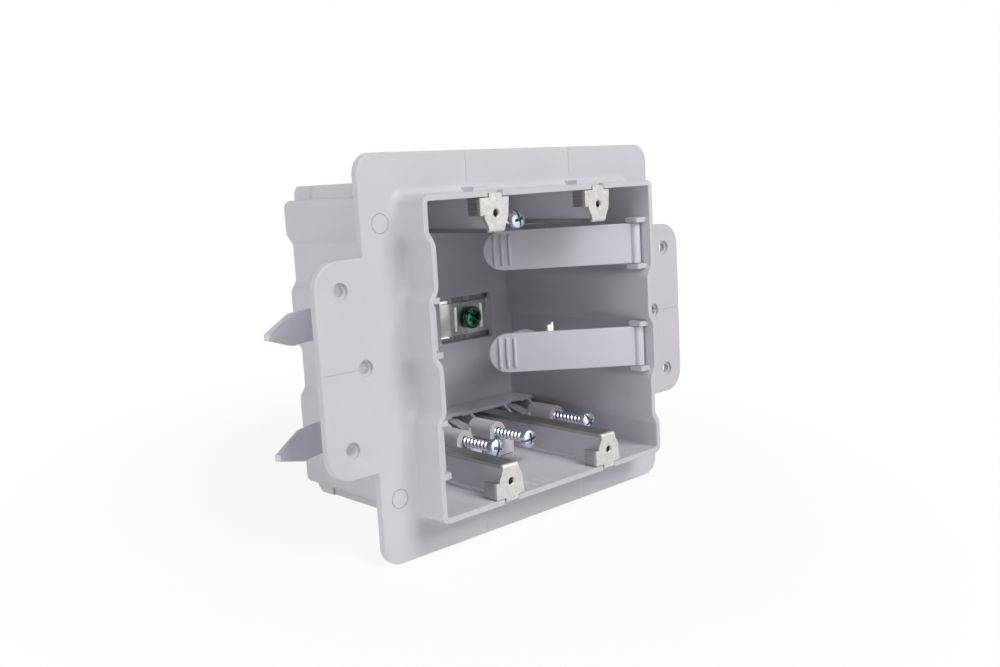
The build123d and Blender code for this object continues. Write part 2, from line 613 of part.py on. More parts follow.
def ground_screw():
    """Ground screw, backed out for a wire under its head."""
    return pan_screw(GROUND_X, WINDOW_Z, GROUND_SCREW_R, GROUND_HEAD_R, GROUND_HEAD_THICK,
                     GROUND_HEAD_Y, GROUND_TIP_Y, GROUND_POINT)


def bond_link():
    """Cross plate behind the box: ties both straps and takes the ground screw's thread."""
    height = 2 * (RIVET_RISE + RIVET_EDGE)
    outline = Pos((LINK_LEFT + LINK_RIGHT) / 2, WINDOW_Z) * RectangleRounded(LINK_RIGHT - LINK_LEFT, height, LINK_R)
    link = front_slab(outline, LINK_Y, LINK_BACK)
    link += rod(LINK_BOSS_R, GROUND_X, WINDOW_Z, LINK_Y, LINK_BACK + LINK_BOSS)
    link -= rod(GROUND_SCREW_R, GROUND_X, WINDOW_Z, LINK_Y - 1, GROUND_TIP_Y + 1)
    edge = (PRESS_HEIGHT + LINK_SLIT) / 2
    for side in (-1, 1):
        z = WINDOW_Z + side * edge
        link -= block(WINDOW_LEFT, WINDOW_LEFT + PRESS_ROLL, LINK_Y - 1, LINK_BACK + 1,
                      z - LINK_SLIT / 2, z + LINK_SLIT / 2)
    for x, z in rivet_places().values():
        link -= rod(RIVET_R, x, z, LINK_Y - 1, LINK_BACK + 1)
    return link


def rivet(x, z):
    """Rivet through the link and the steel under it, into the rear wall."""
    head = rod(RIVET_HEAD_R, x, z, LINK_BACK, LINK_BACK + RIVET_HEAD)
    head = fillet(head.faces().sort_by(Axis.Y)[-1].edges(), RIVET_HEAD * RIVET_ROUND)
    return head + rod(RIVET_R, x, z, REAR_Y - RIVET_DEPTH, LINK_BACK)


def all_parts():
    """Every named part, in place."""
    parts = {"box_body": box_body(), "ground_plate": ground_plate(), "ground_screw": ground_screw(),
             "bond_link": bond_link()}
    for gang, x in GANGS.items():
        parts[f"device_strap_{gang}"] = device_strap(x)
    for name, (x, z) in rivet_places().items():
        parts[name] = rivet(x, z)
    for level, z in LEVER_Z.items():
        swung = Pos(PIVOT_X, PIVOT_Y, z) * Rot(0, 0, LEVER_SWING) * lever()
        parts[f"lever_right_{level}"] = swung
        other = "lower" if level == "upper" else "upper"
        parts[f"lever_left_{other}"] = turned_over(Pos(PIVOT_X, PIVOT_Y, z) * lever())
    for level, side in SIDES.items():
        for number, x in enumerate(CLAMPS, start=1):
            parts[f"clamp_screw_{level}_{number}"] = flipped(clamp_screw(x), side)
            parts[f"clamp_jaw_{level}_{number}"] = flipped(clamp_jaw(x), side)
    return parts


os.makedirs("parts", exist_ok=True)
for name, part in all_parts().items():
    export_step(part, f"parts/{name}.step")
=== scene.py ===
"""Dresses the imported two-gang electrical box: moulded shell, levers, screws, straps and ground terminal.

The CAD frame gives every place and size. Pieces are made as arrays with numpy, or as softened
copies of the CAD nodes, and every finish is a node material on Object coordinates. Metres.
"""

import math

import bmesh
import bpy
import numpy as np
from mathutils import Matrix, Vector


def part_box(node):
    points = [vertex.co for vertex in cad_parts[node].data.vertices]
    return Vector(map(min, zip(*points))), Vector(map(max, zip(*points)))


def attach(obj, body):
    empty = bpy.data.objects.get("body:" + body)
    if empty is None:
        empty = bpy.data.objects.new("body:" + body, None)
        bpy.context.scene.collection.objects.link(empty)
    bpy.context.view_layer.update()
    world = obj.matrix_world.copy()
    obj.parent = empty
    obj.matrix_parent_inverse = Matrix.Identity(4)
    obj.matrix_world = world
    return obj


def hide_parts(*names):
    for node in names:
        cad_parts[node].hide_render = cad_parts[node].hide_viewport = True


bl_info = {
    "name": "Two-gang box dressing",
    "version": (1, 0, 0),
    "blender": (4, 5, 0),
    "location": "View3D > Sidebar > Gang box",
    "description": "Dresses the packed gang box with moulded, threaded and plated surfaces",
    "category": "Object",
}

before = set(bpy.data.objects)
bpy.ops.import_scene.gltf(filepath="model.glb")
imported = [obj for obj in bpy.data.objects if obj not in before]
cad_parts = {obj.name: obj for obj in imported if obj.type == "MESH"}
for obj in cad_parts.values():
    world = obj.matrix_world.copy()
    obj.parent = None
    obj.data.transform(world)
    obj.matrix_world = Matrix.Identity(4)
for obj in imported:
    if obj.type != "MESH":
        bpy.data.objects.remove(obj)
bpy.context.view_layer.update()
MM = 0.001

RIGHT_LEVERS = ("lever_right_upper", "lever_right_lower")
LEFT_LEVERS = ("lever_left_upper", "lever_left_lower")
CLAMP_NAMES = [f"{level}_{number}" for level in ("lower", "upper") for number in (1, 2, 3, 4)]
STRAPS = ("device_strap_left", "device_strap_right")
GANG_X = (-23.02 * MM, 23.02 * MM)
DEVICE_Z = 41.67 * MM
PLATE_FRONT = -15.3 * MM
FLANGE_FRONT = -2.6 * MM
SCUFF_PLACE = (-7.0 * MM, -9.5 * MM, -46.7 * MM)
SCUFF_FAR, SCUFF_NEAR = 7.0 * MM, 2.0 * MM
# Deeper than these the strap takes the legs' darker colour, which is painted shade.
PLATE_FADE = (1.7 * MM, 0.9 * MM)            # depths behind the device plate's face where its finish fades
PARTING_Z = (51.5 * MM, 61.0 * MM)           # ends of the flange's parting lines
PARTING_WIDTH, PARTING_PROUD = 0.45 * MM, 0.12 * MM
EAR_LINE_X = (64.5 * MM, 79.6 * MM)          # ends of the ears' parting lines
EAR_LINE_WIDTH, EAR_LINE_PROUD = 0.3 * MM, 0.03 * MM
RING_X, RING_Z, RING_RADIUS = 57.0 * MM, 41.0 * MM, 2.9 * MM
RING_WIDTH, RING_PROUD = 0.3 * MM, 0.025 * MM
FIRST_TURN, TURN_STEP = 0.7, 1.15            # clamp screws' recesses, radians
GROUND_TURN = 0.62
CLAMP_HEAD, GROUND_HEAD = 2.4 * MM, 2.8 * MM     # height of a head over its seat
CAMERA_AXES = ((0.7302, 0.1421, -0.6683), (-0.6809, 0.0708, -0.7289), (-0.0563, 0.9873, 0.1485))
FLOOR_RADIUS, FLOOR_Z = 2.2, -61.25 * MM


def needed(node):
    """The CAD node's object; raises an error where the frame hasn't it, so that no operator half finishes."""
    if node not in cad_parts:
        raise KeyError(f"the frame has no node named {node}")
    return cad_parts[node]


def node_centre(node):
    """Centre of a CAD node's box."""
    needed(node)
    low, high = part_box(node)
    return (low + high) / 2


# Mesh making

def grid_faces(rows, columns, closed_rows=False, closed_columns=False):
    """Quads of a grid whose points run row by row, wrapping round where it is closed."""
    row = np.arange(rows if closed_rows else rows - 1)
    column = np.arange(columns if closed_columns else columns - 1)
    r, c = np.meshgrid(row, column, indexing="ij")
    r2, c2 = (r + 1) % rows, (c + 1) % columns
    corners = (r * columns + c, r * columns + c2, r2 * columns + c2, r2 * columns + c)
    return np.stack(corners, axis=-1).reshape(-1, 4)


def capped_tube(points):
    """Vertices and faces of a tube, rings of points one after another, with both ends closed."""
    rings, count, _ = points.shape
    vertices = points.reshape(-1, 3)
    faces = grid_faces(rings, count, closed_columns=True).tolist()
    faces.append(list(range(count))[::-1])
    faces.append(list(range((rings - 1) * count, rings * count)))
    return vertices, faces


def closed_ring(points):
    """Vertices and faces of a closed ring, such as a torus: both ways wrap round."""
    rings, count, _ = points.shape
    return points.reshape(-1, 3), grid_faces(rings, count, True, True).tolist()


def joined(*parts):
    """Several (vertices, faces) as one."""
    vertices, faces, start = [], [], 0
    for part_vertices, part_faces in parts:
        vertices.append(np.asarray(part_vertices, float))
        faces += [[start + i for i in face] for face in part_faces]
        start += len(part_vertices)
    return np.concatenate(vertices), faces


def new_piece(name, shape, material, smooth_angle=35.0, relief=None):
    """Object at the origin from (vertices, faces), with outward normals and soft shading.

    relief, if given, is one number per vertex for the finish: 0 in a hollow, 1 on a crest.
    """
    mesh = bpy.data.meshes.new(name)
    vertices, faces = shape
    if not np.isfinite(vertices).all():
        raise ValueError(f"the shape of {name} has points that are not numbers")
    mesh.from_pydata(np.asarray(vertices).tolist(), [], faces)
    if relief is not None:
        mesh.attributes.new("relief", "FLOAT", "POINT").data.foreach_set("value", relief)
    work = bmesh.new()
    work.from_mesh(mesh)
    bmesh.ops.remove_doubles(work, verts=work.verts, dist=1e-6)
    bmesh.ops.recalc_face_normals(work, faces=work.faces)
    work.to_mesh(mesh)
    work.free()
    mesh.shade_smooth()
    mesh.set_sharp_from_angle(angle=math.radians(smooth_angle))
    mesh.materials.append(material)
    piece = bpy.data.objects.new(name, mesh)
    bpy.context.scene.collection.objects.link(piece)
    return piece


def stand_in(piece, body, slot, *nodes):
    """Rides the piece on its body and lets it stand for the CAD nodes; its slot is not used."""
    if not len(piece.data.polygons):
        raise ValueError(f"{piece.name} has no faces")
    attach(piece, body)
    if nodes:
        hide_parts(*nodes)
    return piece


def softened_copy(node, name, material, width, segments=2):
    """Copy of a CAD node with its flat faces merged and its sharp edges rounded."""
    mesh = needed(node).data.copy()
    mesh.name = name
    work = bmesh.new()
    work.from_mesh(mesh)
    bmesh.ops.remove_doubles(work, verts=work.verts, dist=2e-6)
    bmesh.ops.dissolve_limit(work, angle_limit=math.radians(0.6), verts=work.verts, edges=work.edges)
    work.to_mesh(mesh)
    work.free()
    mesh.materials.clear()
    mesh.materials.append(material)
    mesh.shade_smooth()
    mesh.set_sharp_from_angle(angle=math.radians(30))
    piece = bpy.data.objects.new(name, mesh)
    bpy.context.scene.collection.objects.link(piece)
    bevel = piece.modifiers.new("Edges", "BEVEL")
    bevel.width = width
    bevel.segments = segments
    bevel.limit_method = "ANGLE"
    bevel.angle_limit = math.radians(32)
    bevel.harden_normals = True
    bevel.use_clamp_overlap = True
    return piece


# Finishes

class Nodes:
    """Short way to write a node tree: add a node, set its inputs, link what is a socket."""

    def __init__(self, name):
        self.material = bpy.data.materials.new(name)
        self.material.use_nodes = True
        self.tree = self.material.node_tree
        self.tree.nodes.clear()

    def add(self, kind, inputs=None, **settings):
        """One node; inputs by name or number are values or other nodes' sockets."""
        node = self.tree.nodes.new(kind)
        for key, value in settings.items():
            setattr(node, key, value)
        for key, value in (inputs or {}).items():
            socket = node.inputs[key]
            if isinstance(value, bpy.types.NodeSocket):
                self.tree.links.new(value, socket)
            else:
                socket.default_value = value
        return node

    def place(self, scale=(1, 1, 1), offset=(0, 0, 0)):
        """Object coordinates, scaled to a pattern."""
        coords = self.add("ShaderNodeTexCoord").outputs["Object"]
        inputs = {"Vector": coords, "Scale": scale, "Location": offset}
        return self.add("ShaderNodeMapping", inputs).outputs[0]

    def noise(self, vector, scale, detail=3.0, roughness=0.55):
        """Noise value from 0 to 1."""
        return self.add("ShaderNodeTexNoise", {"Vector": vector, "Scale": scale, "Detail": detail,
                                               "Roughness": roughness}).outputs["Fac"]

    def ramp(self, value, low, high, to_low=0.0, to_high=1.0, smooth=True):
        """Maps low..high to to_low..to_high."""
        inputs = {"Value": value, "From Min": low, "From Max": high, "To Min": to_low, "To Max": to_high}
        kind = "SMOOTHSTEP" if smooth else "LINEAR"
        return self.add("ShaderNodeMapRange", inputs, interpolation_type=kind).outputs[0]

    def maths(self, operation, a, b=0.0):
        """Two-value arithmetic."""
        return self.add("ShaderNodeMath", {0: a, 1: b}, operation=operation).outputs[0]

    def mix(self, factor, a, b):
        """Colour a where factor is 0, b where it is 1."""
        return self.add("ShaderNodeMix", {0: factor, 6: a, 7: b}, data_type="RGBA").outputs[2]

    def rounded_normal(self, radius):
        """Normal with every edge rounded a little."""
        return self.add("ShaderNodeBevel", {"Radius": radius}, samples=6).outputs[0]

    def bump(self, height, strength, distance, normal=None):
        """Bump of a height, on top of another normal if one is given."""
        inputs = {"Height": height, "Strength": strength, "Distance": distance}
        if normal is not None:
            inputs["Normal"] = normal
        return self.add("ShaderNodeBump", inputs).outputs[0]

    def finish(self, inputs):
        """Principled surface and output; returns the material."""
        surface = self.add("ShaderNodeBsdfPrincipled", inputs)
        output = self.add("ShaderNodeOutputMaterial")
        self.tree.links.new(surface.outputs[0], output.inputs["Surface"])
        return self.material


def shade(colour, factor):
    """Colour times a factor, with alpha."""
    return (*[min(1.0, c * factor) for c in colour[:3]], 1.0)


def moulded_plastic(name, colour, roughness, scuffs):
    """Satin moulded plastic: faint flow marks, fine grain, rubbed streaks and rounded edges."""
    n = Nodes(name)
    flow = n.noise(n.place((16, 30, 16)), 1.0, 4.0)
    speckle = n.noise(n.place(), 900.0, 2.0)
    base = n.mix(n.ramp(flow, 0.3, 0.7), shade(colour, 0.955), shade(colour, 1.03))
    base = n.mix(n.ramp(speckle, 0.62, 0.8, 0, 0.25), base, shade(colour, 1.12))
    streak = n.noise(n.place((60, 900, 60), (0.3, 0.1, 0.7)), 1.0, 3.0, 0.7)
    patch = n.noise(n.place((38, 38, 38), (0.4, 0.9, 0.2)), 1.0, 2.0)
    rubbed = n.maths("MULTIPLY", n.ramp(streak, 0.63, 0.72), n.ramp(patch, 0.58, 0.7, 0, scuffs))
    inputs = {0: n.place(), 1: SCUFF_PLACE}
    offset = n.add("ShaderNodeVectorMath", inputs, operation="SUBTRACT").outputs["Vector"]
    away = n.add("ShaderNodeVectorMath", {0: offset}, operation="LENGTH").outputs["Value"]
    nicks = n.noise(n.place((500, 160, 500)), 1.0, 3.0, 0.75)
    scuff = n.maths("MULTIPLY", n.ramp(away, SCUFF_FAR, SCUFF_NEAR), n.ramp(nicks, 0.5, 0.62))
    rubbed = n.maths("MAXIMUM", rubbed, scuff)
    base = n.mix(rubbed, base, shade(colour, 1.25))
    rough = n.maths("ADD", n.ramp(flow, 0.2, 0.8, roughness - 0.05, roughness + 0.05),
                    n.maths("MULTIPLY", rubbed, 0.2))
    grain = n.noise(n.place(), 2600.0, 3.0)
    normal = n.bump(grain, 0.12, 0.00008, n.rounded_normal(0.00035))
    return n.finish({"Base Color": base, "Roughness": rough, "Normal": normal, "Specular IOR Level": 0.42,
                     "Subsurface Weight": 0.06, "Subsurface Radius": (0.0012, 0.0011, 0.001),
                     "Subsurface Scale": 1.0})


def strap_steel(name, painted_leg_shade, plate):
    """Galvanised strap: bright crystalline device plates; the rolled legs behind them are the same steel,
    painted darker as painted shade.
    """
    n = Nodes(name)
    split = n.add("ShaderNodeSeparateXYZ", {0: n.place()}).outputs
    # Mask of the device plates' bright face; behind it the legs take their painted shade.
    front = n.ramp(split[1], PLATE_FRONT + PLATE_FADE[0], PLATE_FRONT + PLATE_FADE[1])
    rolled = n.noise(n.place((1400, 12, 1400)), 1.0, 4.0, 0.65)
    inputs = {"Vector": n.place(), "Scale": 1400.0}
    crystal = n.add("ShaderNodeTexVoronoi", inputs, feature="F1").outputs["Color"]
    crystal = n.add("ShaderNodeSeparateColor", {0: crystal}).outputs[0]
    cloud = n.noise(n.place((120, 60, 120)), 1.0, 3.0)
    # The legs are darker than the plates only as painted shade; the rolled lines and cloud on them are the
    # steel's own.
    rolled_leg_painted_shade = n.mix(n.ramp(rolled, 0.3, 0.7), shade(painted_leg_shade, 0.8), shade(painted_leg_shade, 1.15))
    rolled_leg_painted_shade = n.mix(n.ramp(cloud, 0.45, 0.7, 0, 0.5), rolled_leg_painted_shade, shade(painted_leg_shade, 0.7))
    bright = n.mix(crystal, shade(plate, 0.87), shade(plate, 1.06))
    base = n.mix(front, rolled_leg_painted_shade, bright)
    rough = n.add("ShaderNodeMix", {0: front, 2: n.ramp(rolled, 0.2, 0.8, 0.3, 0.42),
                                    3: n.ramp(crystal, 0, 1, 0.42, 0.58)}).outputs[0]
    lines = n.bump(rolled, 0.25, 0.00004, n.rounded_normal(0.00018))
    normal = n.bump(crystal, 0.12, 0.00001, lines)
    return n.finish({"Base Color": base, "Metallic": 1.0, "Roughness": rough, "Normal": normal})


def pressed_steel(name, colour, roughness):
    """Bright pressed steel with faint drawing lines and a cloudy plating."""
    n = Nodes(name)
    drawn = n.noise(n.place((900, 900, 14)), 1.0, 3.0, 0.6)
    cloud = n.noise(n.place((150, 150, 150)), 1.0, 3.0)
    base = n.mix(n.ramp(cloud, 0.35, 0.7), shade(colour, 0.82), shade(colour, 1.08))
    rough = n.ramp(drawn, 0.25, 0.75, roughness - 0.05, roughness + 0.08)
    normal = n.bump(drawn, 0.15, 0.00003, n.rounded_normal(0.0002))
    return n.finish({"Base Color": base, "Metallic": 1.0, "Roughness": rough, "Normal": normal})


def plated_screw(name, colour, tint):
    """Bright zinc screw: bluish passivation over silver, with painted shade in the thread's roots and the
    head's troughs.
    """
    n = Nodes(name)
    cloud = n.noise(n.place((260, 260, 260)), 1.0, 3.0)
    base = n.mix(n.ramp(cloud, 0.35, 0.68), shade(colour, 1.0), shade(tint, 1.0))
    relief = n.add("ShaderNodeAttribute", attribute_name="relief").outputs["Fac"]
    # Painted shade: where the relief is low, in the thread's roots and the slot and cross, the colour
    # darkens.
    base = n.mix(n.ramp(relief, 0.05, 0.45), shade(colour, 0.26), base)
    speck = n.noise(n.place(), 2200.0, 2.0)
    rough = n.ramp(speck, 0.3, 0.7, 0.25, 0.33)
    normal = n.bump(speck, 0.12, 0.00003, n.rounded_normal(0.00008))
    return n.finish({"Base Color": base, "Metallic": 1.0, "Roughness": rough, "Normal": normal})


def dyed_screw(name, dye, painted_highlight):
    """Green dyed screw: a painted highlight of bright metal on its crests and the head's shoulder ring, and
    painted shade in its troughs.
    """
    n = Nodes(name)
    relief = n.add("ShaderNodeAttribute", attribute_name="relief").outputs["Fac"]
    chips = n.noise(n.place(), 1500.0, 4.0, 0.7)
    # Painted highlight: bright metal where the relief peaks, on the crests and the shoulder ring, broken up
    # by noise.
    edge = n.maths("MULTIPLY", n.ramp(relief, 0.66, 0.92), n.ramp(chips, 0.34, 0.52, 0, 0.8))
    # Painted shade: low relief, in the slot, cross and thread roots, darkens the dye.
    base = n.mix(n.ramp(relief, 0.1, 0.6), shade(dye, 0.25), shade(dye, 1.0))
    base = n.mix(n.ramp(chips, 0.35, 0.7, 0, 0.5), base, shade(dye, 1.6))
    base = n.mix(edge, base, shade(painted_highlight, 1.0))
    return n.finish({"Base Color": base, "Metallic": 0.9, "Roughness": n.ramp(chips, 0.3, 0.7, 0.1, 0.26),
                     "Normal": n.bump(chips, 0.3, 0.00003), "Coat Weight": 0.7, "Coat Roughness": 0.06})


def white_floor(name, colour, radius, centre):
    """Pale floor: seen as white where it is lit, keeping a faint shadow, and lost in the backdrop far out."""
    n = Nodes(name)
    where = n.place((1, 1, 1), (-centre[0], -centre[1], -centre[2]))
    distance = n.add("ShaderNodeVectorMath", {0: where}, operation="LENGTH").outputs["Value"]
    near = n.ramp(distance, radius * 0.4, radius, 1, 0)
    paint = n.add("ShaderNodeBsdfDiffuse", {"Color": shade(colour, 1.0)}).outputs[0]
    glow = n.add("ShaderNodeEmission", {"Color": (1, 1, 1, 1), "Strength": 1.0}).outputs[0]
    path = n.add("ShaderNodeLightPath").outputs
    seen = n.maths("MAXIMUM", path["Is Camera Ray"], n.maths("MAXIMUM", path["Is Glossy Ray"],
                                                             path["Is Transmission Ray"]))
    share = n.maths("MULTIPLY", seen, n.maths("SUBTRACT", 1.0, n.maths("MULTIPLY", near, 0.1)))
    mixed = n.add("ShaderNodeMixShader", {0: share, 1: paint, 2: glow}).outputs[0]
    output = n.add("ShaderNodeOutputMaterial")
    n.tree.links.new(mixed, output.inputs["Surface"])
    return n.material


# Surfaces

def smooth_step(value, low, high):
    """0 below low, 1 above high, an even curve between."""
    t = np.clip((value - low) / (high - low), 0, 1)
    return t * t * (3 - 2 * t)


def threaded_shaft(x, z, start, tip, crest, root, pitch, point):
    """Screw shaft along Y: radius = root + (crest - root) * ridge(turns), a helix of sharp ridges.

    The ridge is a triangle wave of (distance / pitch + angle / full turn), a right-hand helix rounded at
    the root. The radius fades to the tip over the point's length and the thread starts half a turn below
    the head. Also returns the ridge's height, 0 to 1, at each vertex.
    """
    around = 30
    steps = int((tip - start) / pitch * 12)
    y = np.linspace(start, tip, steps)[:, None]
    angle = np.linspace(0, 2 * np.pi, around, endpoint=False)[None, :]
    phase = (y / pitch + angle / (2 * np.pi)) % 1.0
    ridge = np.clip(1.1 - 3.4 * np.abs(phase - 0.5), 0, 1)
    fade = smooth_step(y - start, 0, pitch) * (1 - 0.25 * smooth_step(y, tip - point, tip))
    radius = root + (crest - root) * ridge * fade
    radius = radius * (1 - 0.62 * smooth_step(y, tip - point, tip + point * 0.12))
    points = np.stack([x + radius * np.cos(angle), np.broadcast_to(y, radius.shape),
                       z + radius * np.sin(angle)], axis=-1)
    # The ridge's height is the mask for painted shade in the roots and, on the green screw, a painted
    # highlight on the crests.
    return capped_tube(points), (ridge * fade).ravel()


def driven_head(x, z, radius, under, thick, dome, slot_width, slot_span, slot_deep, cross_span, washer=0.0):
    """Screw head facing -Y: a dome over polar rings, less a slot and a cross pressed into it.

    Height = dome(r) - the deeper of the slot's and the cross arms' troughs; each trough is a product
    of smooth steps across its width and along its span. A washer rim is the outermost share of r.
    Also returns the relief at each vertex: 0 in a trough, 0.6 on the dome, 1 on its shoulder.
    """
    around = 120
    r = np.concatenate([np.linspace(0.02, 0.93, 34), [0.96, 0.985, 1.0]])[:, None] * radius
    angle = np.linspace(0, 2 * np.pi, around, endpoint=False)[None, :]
    u, v = r * np.cos(angle), r * np.sin(angle)
    crown = radius - washer
    rim = thick * 0.38
    height = rim + (thick - rim) * np.sqrt(np.clip(1 - (np.minimum(r, crown) / crown) ** 2.2, 0, 1)) ** dome
    height = np.where(r > crown, rim, height) * (1 - 0.35 * smooth_step(r, radius * 0.96, radius))

    def trough(across, along, width, span, deep):
        edge = width * 0.16
        inside = 1 - smooth_step(np.abs(across), width / 2 - edge, width / 2 + edge)
        return deep * inside * (1 - smooth_step(np.abs(along), span / 2 - 2 * edge, span / 2 + 2 * edge))

    cuts = [trough(v, u, slot_width, slot_span, slot_deep),
            trough(u, v, slot_width * 1.05, cross_span, slot_deep * 1.15),
            trough(v, u, slot_width * 1.05, cross_span, slot_deep * 1.15)]
    cut = np.maximum.reduce(cuts)
    height = np.maximum(height - cut, thick * 0.12)
    # Relief peaks on the shoulder ring to place the green screw's painted highlight; troughs get painted
    # shade.
    relief = 0.6 + 0.4 * np.exp(-((r - crown * 0.96) / (crown * 0.09)) ** 2)
    relief = relief * (1 - np.clip(cut / slot_deep, 0, 1))
    top = np.stack([x + u, under - height, z + v], axis=-1)
    under_ring = np.stack([x + u[-1:], np.full_like(u[-1:], under), z + v[-1:]], axis=-1)
    relief = np.concatenate([relief, np.full_like(relief[-1:], 0.6)])
    return capped_tube(np.concatenate([top, under_ring])), relief.ravel()


def screw_shape(centre_x, centre_z, under, tip, sizes):
    """Head and threaded shaft as one shape, and the relief at each vertex."""
    shaft, shaft_relief = threaded_shaft(centre_x, centre_z, under - 0.1 * MM, tip, sizes["crest"],
                                         sizes["root"], sizes["pitch"], sizes["point"])
    head, head_relief = driven_head(centre_x, centre_z, sizes["head"], under, sizes["thick"], sizes["dome"],
                                    sizes["slot"], sizes["slot_span"], sizes["deep"], sizes["cross"],
                                    sizes["washer"])
    return joined(head, shaft), np.concatenate([head_relief, shaft_relief])


def tapped_sleeve(x, z, front, back, bore, root, pitch):
    """Thread inside a tapped hole: a ring whose inner wall is a right-hand helix of ridges.

    Inner radius = root - (root - bore) * triangle wave of (distance / pitch + angle / full turn); its
    outer wall is plain.
    """
    around = 40
    y = np.linspace(front, back, 30)[:, None]
    angle = np.linspace(0, 2 * np.pi, around, endpoint=False)[None, :]
    phase = (y / pitch + angle / (2 * np.pi)) % 1.0
    inner = root - (root - bore) * np.clip(1.1 - 2.4 * np.abs(phase - 0.5), 0, 1)
    outer = np.full((2, around), root + 0.03 * MM)
    radius = np.concatenate([inner, outer])
    along = np.broadcast_to(np.concatenate([y, [[back], [front]]]), radius.shape)
    points = np.stack([x + radius * np.cos(angle), along, z + radius * np.sin(angle)], axis=-1)
    return closed_ring(points)


def rounded_section(half_width, half_thick, edge, count=7):
    """Rounded rectangle: two arrays, across and through, one row per half width given."""
    quarter = np.linspace(0, np.pi / 2, count)
    turn = np.concatenate([quarter + k * np.pi / 2 for k in range(4)])
    sign_a = np.repeat([1, -1, -1, 1], count)
    sign_b = np.repeat([1, 1, -1, -1], count)
    half_width = np.asarray(half_width)[:, None]
    half_thick = np.asarray(half_thick)[:, None]
    edge = np.minimum(edge, np.minimum(half_width, half_thick) * 0.98)
    across = sign_a * (half_width - edge) + edge * np.cos(turn)
    through = sign_b * (half_thick - edge) + edge * np.sin(turn)
    return across, through


def carried_bar(path, normal, half_width, half_thick, edge):
    """Bar carried along a path in the XY plane: its width along Z, its thickness along the normal.

    path and normal are (n, 2) arrays; each cross-section is a rounded rectangle of its own half width.
    """
    across, through = rounded_section(half_width, half_thick, edge)
    points = np.empty((*across.shape, 3))
    points[..., 0] = path[:, None, 0] + through * normal[:, None, 0]
    points[..., 1] = path[:, None, 1] + through * normal[:, None, 1]
    points[..., 2] = across
    return capped_tube(points)


def upright_pin(radius, low, high, edge):
    """Pin along Z about the origin: radius follows a quarter round at each end."""
    turn = np.linspace(0, np.pi / 2, 5)
    r = np.concatenate([radius - edge + edge * np.sin(turn), radius - edge + edge * np.cos(turn)])
    z = np.concatenate([low + edge - edge * np.cos(turn), high - edge + edge * np.sin(turn)])
    angle = np.linspace(0, 2 * np.pi, 32, endpoint=False)
    points = np.stack([r[:, None] * np.cos(angle), r[:, None] * np.sin(angle),
                       np.broadcast_to(z[:, None], (len(z), 32))], axis=-1)
    return capped_tube(points)


def lever_shape(sizes):
    """One lever about its pivot: arm along +Y with a half-round end, grips on its -X face, claw to +X."""
    half, thick = sizes["arm_width"] / 2, sizes["arm_thick"] / 2
    length, round_y = sizes["arm_length"], sizes["arm_length"] - half
    swing = np.linspace(0, np.pi / 2, 26)
    along = np.concatenate([[0.0], np.linspace(0.2 * MM, round_y, 14), round_y + half * np.sin(swing[1:])])
    width = np.concatenate([np.full(15, half), np.maximum(half * np.cos(swing[1:]), 0.25 * MM)])
    path = np.stack([np.zeros_like(along), along], axis=-1)
    normal = np.tile([1.0, 0.0], (len(along), 1))
    arm = carried_bar(path, normal, width, np.full(len(along), thick), 0.35 * MM)
    grips = []
    for number in range(sizes["grips"]):
        y = sizes["grip_first"] + number * sizes["grip_pitch"]
        out = sizes["grip_proud"]
        z = np.linspace(-1, 1, 21)
        lift = out * np.sqrt(np.clip(1 - np.abs(z) ** 8, 0, 1))
        bar_path = np.stack([-thick - lift + 0.45 * MM, np.full_like(z, y)], axis=-1)
        section = np.linspace(0, 2 * np.pi, 16, endpoint=False)
        points = np.empty((21, 16, 3))
        points[..., 0] = bar_path[:, :1] + 0.45 * MM * np.cos(section)
        points[..., 1] = y + sizes["grip_width"] / 2 * np.sin(section)
        points[..., 2] = (z * sizes["grip_span"] / 2)[:, None]
        grips.append(capped_tube(points))
    barrel = upright_pin(sizes["barrel"], -half, half, 0.25 * MM)
    stub = upright_pin(sizes["stub"], -half - sizes["stub_length"], half + sizes["stub_length"], 0.2 * MM)
    return joined(arm, *grips, barrel, stub, claw_shape(sizes))


def claw_shape(sizes):
    """Claw blade: an arc about the pivot from the arm, then a straight point that narrows to its tip."""
    radius, bend, point = sizes["claw_radius"], math.radians(sizes["claw_bend"]), sizes["claw_point"]
    turn = np.linspace(0.004, bend, 22)
    arc = np.stack([radius * np.sin(turn), radius * np.cos(turn)], axis=-1)
    arc_normal = np.stack([np.sin(turn), np.cos(turn)], axis=-1)
    run = np.linspace(0, point, 15)[1:]
    ahead = np.array([math.cos(bend), -math.sin(bend)])
    straight = arc[-1] + run[:, None] * ahead
    path = np.concatenate([arc, straight])
    normal = np.concatenate([arc_normal, np.tile(arc_normal[-1], (len(run), 1))])
    half = sizes["claw_width"] / 2
    narrow = half + (sizes["claw_tip"] / 2 - half) * run / point
    width = np.concatenate([np.full(len(turn), half), narrow])
    return carried_bar(path, normal, width, np.full(len(path), sizes["claw_thick"] / 2), 0.25 * MM)


def ridge_line(start, end, width, proud, outward):
    """Thin raised line on a flat face: half a sine across its width, faded at both ends."""
    start, end, outward = np.asarray(start, float), np.asarray(end, float), np.asarray(outward, float)
    run = end - start
    side = np.cross(outward, run / np.linalg.norm(run))
    t = np.linspace(0, 1, 30)[:, None]
    s = np.linspace(0, np.pi, 9)[None, :]
    lift = proud * np.sin(s) * np.sqrt(np.sin(np.pi * np.clip(t, 0.004, 0.996)))
    points = (start + t[..., None] * run + (width / 2 * np.cos(s))[..., None] * side
              + lift[..., None] * outward)
    back = points[:, ::-1]
    height = np.einsum("ijk,k->ij", back - start, outward)[..., None]
    back = back - outward * (0.05 * MM) - height * outward
    return capped_tube(np.concatenate([points, back[:, 1:-1]], axis=1))


